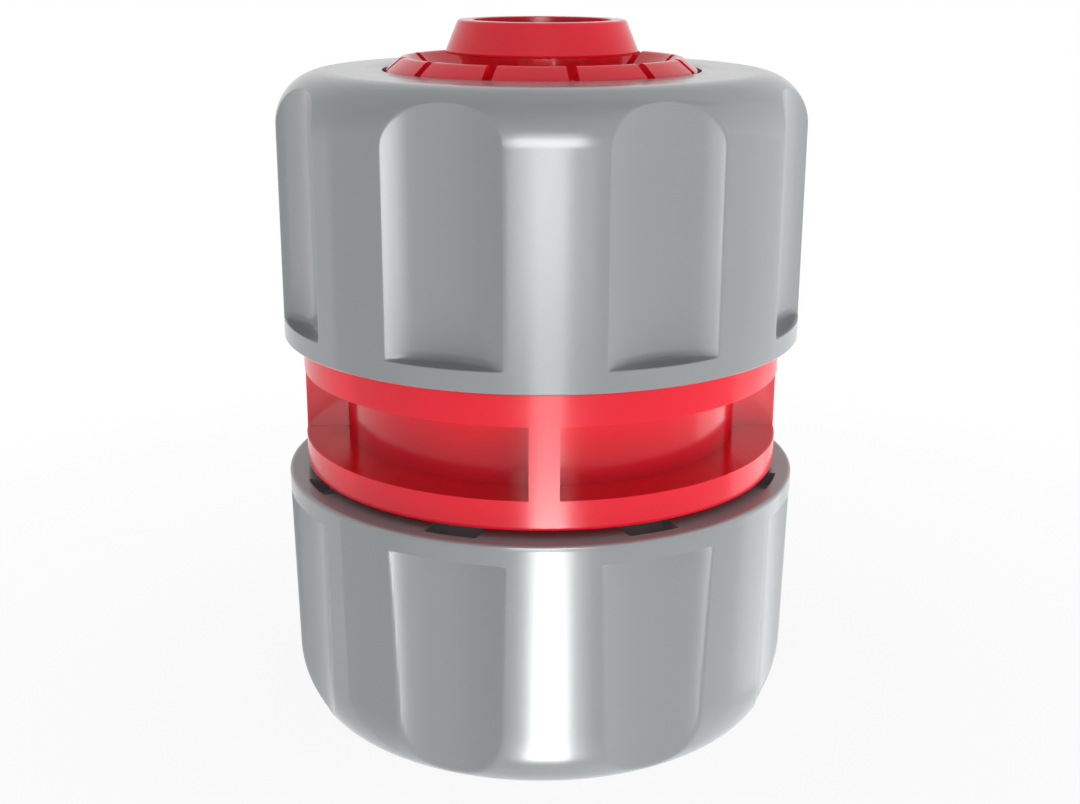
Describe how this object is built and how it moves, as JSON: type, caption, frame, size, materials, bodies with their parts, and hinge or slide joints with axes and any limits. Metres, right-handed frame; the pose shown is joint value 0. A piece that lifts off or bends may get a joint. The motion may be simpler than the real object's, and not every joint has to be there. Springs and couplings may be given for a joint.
{
  "type": "hose quick coupling",
  "caption": "Plastic quick coupling: a barbed hose spigot with a screw collet on top, and a spring-held plug socket with a release sleeve below.",
  "frame": {"origin": "on the axis, in the plane of the release sleeve's foot (the plug end)", "axes": "+Z along the axis from the plug end to the hose end; -Y faces the picture's camera; +X is to the camera's right"},
  "size_m": [0.0382, 0.0382, 0.0509],
  "materials": {
    "red_plastic": "moulded, glossy",
    "grey_plastic": "moulded, glossy",
    "natural_plastic": "moulded acetal, smooth",
    "dark_plastic": "moulded, fine texture",
    "spring_steel": "drawn stainless wire"
  },
  "bodies": {
    "socket_body": {"hose_body": "red_plastic", "mouth_ring": "dark_plastic", "spring_seat": "dark_plastic", "sleeve_spring": "spring_steel"},
    "collet": {"hose_collet": "red_plastic"},
    "nut": {"clamp_nut": "grey_plastic"},
    "sleeve": {"release_sleeve": "grey_plastic", "lock_ring": "natural_plastic"},
    "claw_1": {"latch_claw_1": "natural_plastic"},
    "claw_2": {"latch_claw_2": "natural_plastic"},
    "claw_3": {"latch_claw_3": "natural_plastic"},
    "claw_4": {"latch_claw_4": "natural_plastic"},
    "claw_5": {"latch_claw_5": "natural_plastic"},
    "claw_6": {"latch_claw_6": "natural_plastic"},
    "claw_7": {"latch_claw_7": "natural_plastic"},
    "claw_8": {"latch_claw_8": "natural_plastic"}
  },
  "joints": [
    {"name": "collet_slide", "type": "slide", "parent": "socket_body", "child": "collet", "axis": [0, 0, 1], "range_m": [0, 0.0075]},
    {"name": "nut_turn", "type": "hinge", "parent": "collet", "child": "nut", "pos_m": [0, 0, 0.035], "axis": [0, 0, 1], "range_deg": [0, 900]},
    {"name": "sleeve_slide", "type": "slide", "parent": "socket_body", "child": "sleeve", "axis": [0, 0, -1], "range_m": [0, 0.0024], "stiffness_N_per_m": 1200, "springref_m": -0.006, "deforming": ["sleeve_spring"]},
    {"name": "claw_slide_1", "type": "slide", "parent": "socket_body", "child": "claw_1", "axis": [0.4274, -0.9041, 0], "range_m": [0, 0.0009]},
    {"name": "claw_slide_2", "type": "slide", "parent": "socket_body", "child": "claw_2", "axis": [0.9415, -0.3371, 0], "range_m": [0, 0.0009]},
    {"name": "claw_slide_3", "type": "slide", "parent": "socket_body", "child": "claw_3", "axis": [0.9041, 0.4274, 0], "range_m": [0, 0.0009]},
    {"name": "claw_slide_4", "type": "slide", "parent": "socket_body", "child": "claw_4", "axis": [0.3371, 0.9415, 0], "range_m": [0, 0.0009]},
    {"name": "claw_slide_5", "type": "slide", "parent": "socket_body", "child": "claw_5", "axis": [-0.4274, 0.9041, 0], "range_m": [0, 0.0009]},
    {"name": "claw_slide_6", "type": "slide", "parent": "socket_body", "child": "claw_6", "axis": [-0.9415, 0.3371, 0], "range_m": [0, 0.0009]},
    {"name": "claw_slide_7", "type": "slide", "parent": "socket_body", "child": "claw_7", "axis": [-0.9041, -0.4274, 0], "range_m": [0, 0.0009]},
    {"name": "claw_slide_8", "type": "slide", "parent": "socket_body", "child": "claw_8", "axis": [-0.3371, -0.9415, 0], "range_m": [0, 0.0009]}
  ],
  "couplings": [
    {"joint": "collet_slide", "follows": "nut_turn", "m_per_rad": 0.00047746},
    {"joint": "claw_slide_1", "follows": "sleeve_slide", "ratio": 0.375},
    {"joint": "claw_slide_2", "follows": "sleeve_slide", "ratio": 0.375},
    {"joint": "claw_slide_3", "follows": "sleeve_slide", "ratio": 0.375},
    {"joint": "claw_slide_4", "follows": "sleeve_slide", "ratio": 0.375},
    {"joint": "claw_slide_5", "follows": "sleeve_slide", "ratio": 0.375},
    {"joint": "claw_slide_6", "follows": "sleeve_slide", "ratio": 0.375},
    {"joint": "claw_slide_7", "follows": "sleeve_slide", "ratio": 0.375},
    {"joint": "claw_slide_8", "follows": "sleeve_slide", "ratio": 0.375}
  ]
}
